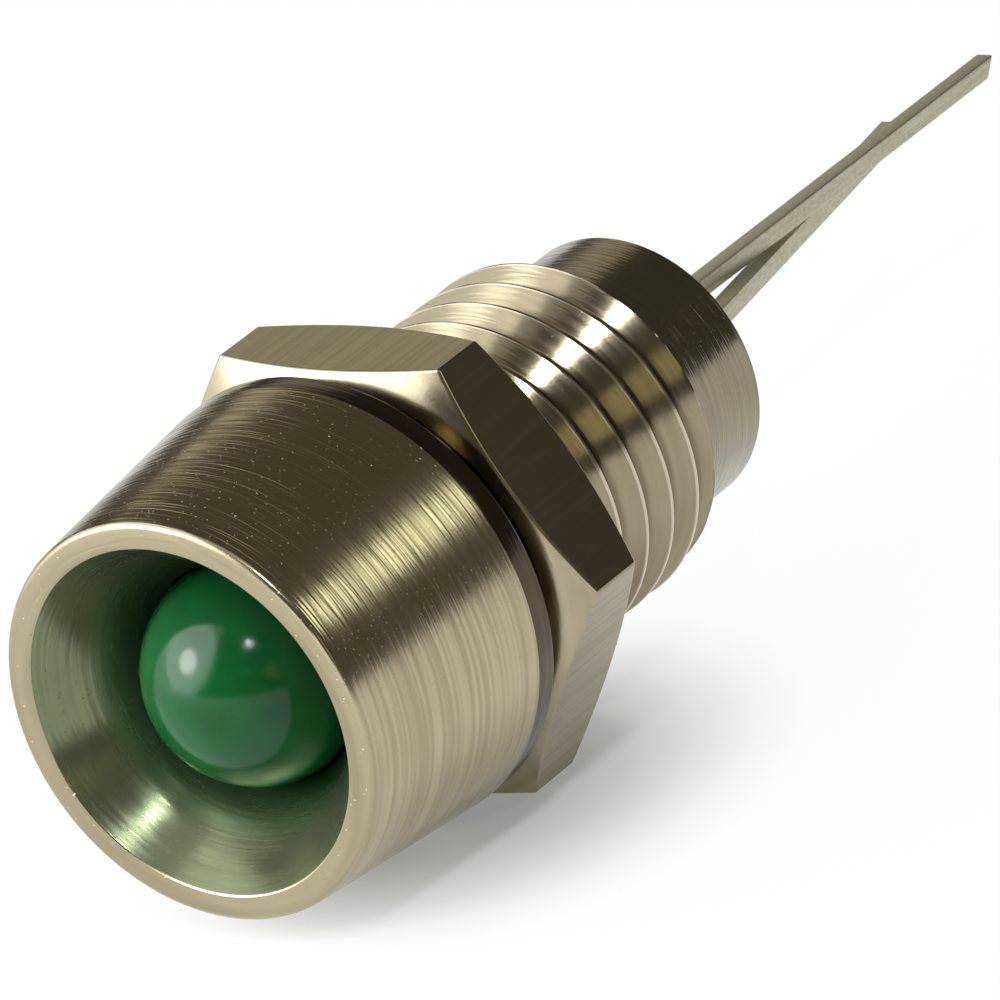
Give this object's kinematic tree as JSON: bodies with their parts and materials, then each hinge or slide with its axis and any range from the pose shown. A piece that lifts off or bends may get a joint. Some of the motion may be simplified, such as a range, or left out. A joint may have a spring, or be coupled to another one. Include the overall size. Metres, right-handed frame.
{
  "type": "led panel indicator",
  "caption": "Turned metal panel indicator with a green lamp set in a reflector cone, a threaded shank with a hexagon nut, and square lead wires out of its tail.",
  "frame": {"origin": "on the indicator's axis, in the plane of the bezel's mounting face", "axes": "+Y along the axis from the lamp to the lead wires, +Z out of a flat of the nut, +X along the row of the two leads towards the short one"},
  "size_m": [0.0116, 0.0339, 0.0104],
  "materials": {
    "nickel_bezel": "nickel plated, fine turned",
    "nickel_nut": "nickel plated, smooth",
    "green_lens": "clear tinted casting, glossy",
    "tinned_lead": "tinned, satin",
    "die": "matt",
    "gold_wire": "bright drawn",
    "black_plastic": "moulded, matt"
  },
  "bodies": {
    "root": {"bezel_body": "nickel_bezel", "panel_nut": "nickel_nut", "led_lens": "green_lens", "cathode_lead": "tinned_lead", "anode_lead": "tinned_lead", "led_chip": "die", "bond_wire": "gold_wire", "retaining_bush": "black_plastic"}
  },
  "joints": []
}
